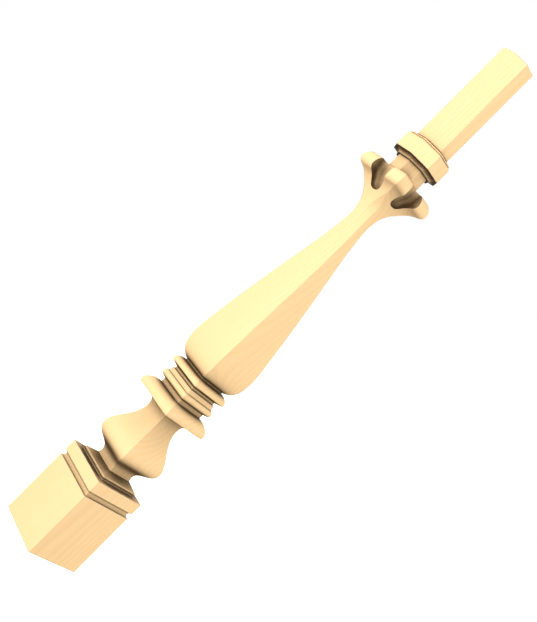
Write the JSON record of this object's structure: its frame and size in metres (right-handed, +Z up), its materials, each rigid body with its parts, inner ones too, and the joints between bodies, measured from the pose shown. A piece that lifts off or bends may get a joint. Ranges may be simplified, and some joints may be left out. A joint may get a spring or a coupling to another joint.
{
  "type": "baluster",
  "caption": "Square wooden baluster with a block foot, carved vase, long bulb tapering to an octagonal waist, petalled calyx, collar and plain octagonal shaft.",
  "frame": {"origin": "centre of the square underside of the foot block, the face that the baluster stands on", "axes": "+Z up along the baluster's axis from foot to top; +X and +Y each look out square from a face of the foot block, so the petals of the calyx point along the diagonals"},
  "size_m": [0.0896, 0.0896, 0.9],
  "materials": {
    "pale_wood": "smooth sanded bare pale wood with faint straight grain and softened arrises, end grain at foot and top"
  },
  "bodies": {
    "root": {"baluster": "pale_wood"}
  },
  "joints": []
}
